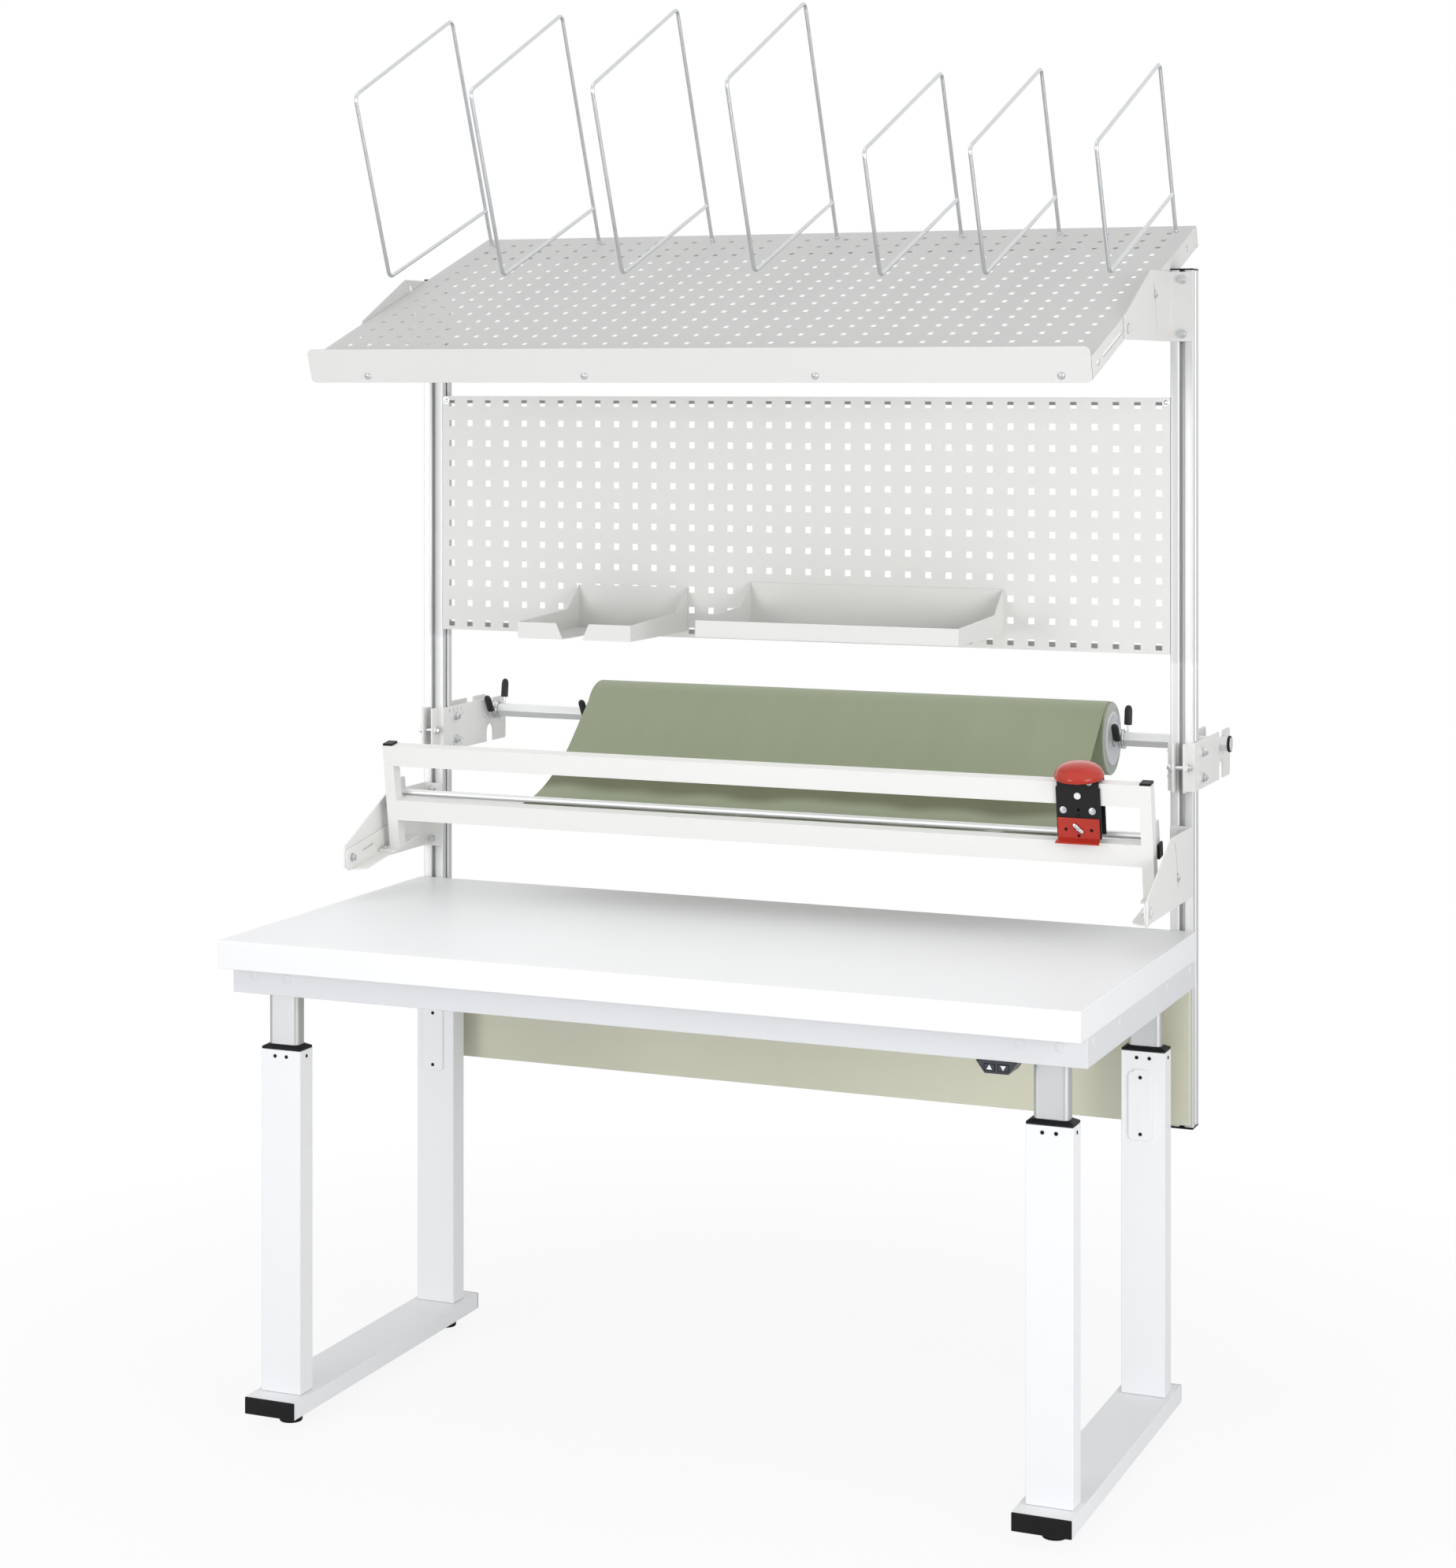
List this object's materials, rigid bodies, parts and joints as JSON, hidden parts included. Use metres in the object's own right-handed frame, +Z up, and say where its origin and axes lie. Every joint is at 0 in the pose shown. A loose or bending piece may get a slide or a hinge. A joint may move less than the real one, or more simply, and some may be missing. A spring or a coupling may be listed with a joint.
{
  "type": "height-adjustable packing table",
  "caption": "White packing table on telescopic legs, with slotted uprights, perforated panel, trays, tilting carton shelf with wire dividers, roll holder and film cutter.",
  "frame": {"origin": "on the floor, in the middle of the bounding box's plan", "axes": "+X to the right of a person standing at the table, +Y away from that person, +Z up"},
  "size_m": [1.53, 1.02, 2.4732],
  "materials": {
    "white_laminate": "smooth white laminate",
    "white_coat": "white powder coat",
    "grey_coat": "light grey powder coat",
    "beige_coat": "beige-green powder coat",
    "anodised": "satin anodised",
    "zinc": "bright zinc plated",
    "black_plastic": "fine texture",
    "white_plastic": "smooth",
    "black_coat": "black powder coat",
    "red_coat": "red gloss coat",
    "red_plastic": "polished",
    "film": "sage green film"
  },
  "bodies": {
    "base": {"base_rail_left": "white_coat", "leg_tube_front_left": "white_coat", "glide_collar_front_left": "black_plastic", "leg_tube_rear_left": "white_coat", "glide_collar_rear_left": "black_plastic", "base_rail_right": "white_coat", "leg_tube_front_right": "white_coat", "glide_collar_front_right": "black_plastic", "leg_tube_rear_right": "white_coat", "glide_collar_rear_right": "black_plastic"},
    "foot_front_left": {"levelling_foot_front_left": "black_plastic"},
    "foot_front_right": {"levelling_foot_front_right": "black_plastic"},
    "foot_rear_left": {"levelling_foot_rear_left": "black_plastic"},
    "foot_rear_right": {"levelling_foot_rear_right": "black_plastic"},
    "lift": {"lift_column_front_left": "anodised", "lift_column_rear_left": "anodised", "upright_left": "anodised", "shelf_bracket_left": "grey_coat", "cutter_bracket_left": "grey_coat", "roll_bracket_left": "grey_coat", "lift_column_front_right": "anodised", "lift_column_rear_right": "anodised", "upright_right": "anodised", "shelf_bracket_right": "grey_coat", "cutter_bracket_right": "grey_coat", "roll_bracket_right": "grey_coat", "worktop": "white_laminate", "under_frame": "white_coat", "control_box": "black_plastic", "hand_switch": "black_plastic", "lower_panel": "beige_coat", "perforated_panel": "grey_coat", "large_tray": "grey_coat", "small_tray": "grey_coat", "roll_shaft": "anodised", "film_web": "film"},
    "shelf": {"shelf_deck": "grey_coat", "shelf_lip": "grey_coat", "divider_1": "zinc", "divider_2": "zinc", "divider_3": "zinc", "divider_4": "zinc", "divider_5": "zinc", "divider_6": "zinc", "divider_7": "zinc"},
    "roll": {"roll_core": "white_plastic", "film_roll": "film"},
    "cutter": {"cutter_frame": "grey_coat", "tilt_arm_left": "grey_coat", "tilt_arm_right": "grey_coat", "cutter_rail": "anodised", "hold_down_bar": "anodised"},
    "cutter_head": {"cutter_carriage": "black_coat", "blade_guard": "red_coat", "cutter_knob": "red_plastic"},
    "up_key": {"up_button": "white_plastic"},
    "down_key": {"down_button": "white_plastic"},
    "collar_bracket": {"spring_collar_bracket": "zinc"},
    "collar_left": {"spring_collar_roll_left": "zinc"},
    "collar_right": {"spring_collar_roll_right": "zinc"}
  },
  "joints": [
    {"name": "level_front_left", "type": "slide", "parent": "base", "child": "foot_front_left", "axis": [0, 0, 1], "range_m": [-0.012, 0]},
    {"name": "level_front_right", "type": "slide", "parent": "base", "child": "foot_front_right", "axis": [0, 0, 1], "range_m": [-0.012, 0]},
    {"name": "level_rear_left", "type": "slide", "parent": "base", "child": "foot_rear_left", "axis": [0, 0, 1], "range_m": [-0.012, 0]},
    {"name": "level_rear_right", "type": "slide", "parent": "base", "child": "foot_rear_right", "axis": [0, 0, 1], "range_m": [-0.012, 0]},
    {"name": "height", "type": "slide", "parent": "base", "child": "lift", "axis": [0, 0, 1], "range_m": [-0.08, 0.32]},
    {"name": "up_press", "type": "slide", "parent": "lift", "child": "up_key", "axis": [0, 1, 0], "range_m": [0, 0.0015], "stiffness_N_per_m": 400},
    {"name": "down_press", "type": "slide", "parent": "lift", "child": "down_key", "axis": [0, 1, 0], "range_m": [0, 0.0015], "stiffness_N_per_m": 400},
    {"name": "shelf_tilt", "type": "hinge", "parent": "lift", "child": "shelf", "pos_m": [0, -0.058, 1.874], "axis": [1, 0, 0], "range_deg": [-18.5, 7.5]},
    {"name": "roll_spin", "type": "hinge", "parent": "lift", "child": "roll", "pos_m": [0, 0.44, 1.142], "axis": [1, 0, 0], "continuous": true},
    {"name": "cutter_tilt", "type": "hinge", "parent": "lift", "child": "cutter", "pos_m": [0, -0.058, 0.918], "axis": [1, 0, 0], "range_deg": [-9, 17], "deforming": ["film_web"]},
    {"name": "head_slide", "type": "slide", "parent": "cutter", "child": "cutter_head", "axis": [1, 0, 0], "range_m": [-1.2, 0.06]},
    {"name": "collar_bracket_slide", "type": "slide", "parent": "lift", "child": "collar_bracket", "axis": [1, 0, 0], "range_m": [0, 0.17]},
    {"name": "collar_left_slide", "type": "slide", "parent": "lift", "child": "collar_left", "axis": [1, 0, 0], "range_m": [-0.17, 0]},
    {"name": "collar_right_slide", "type": "slide", "parent": "lift", "child": "collar_right", "axis": [1, 0, 0], "range_m": [0, 0.1]}
  ]
}
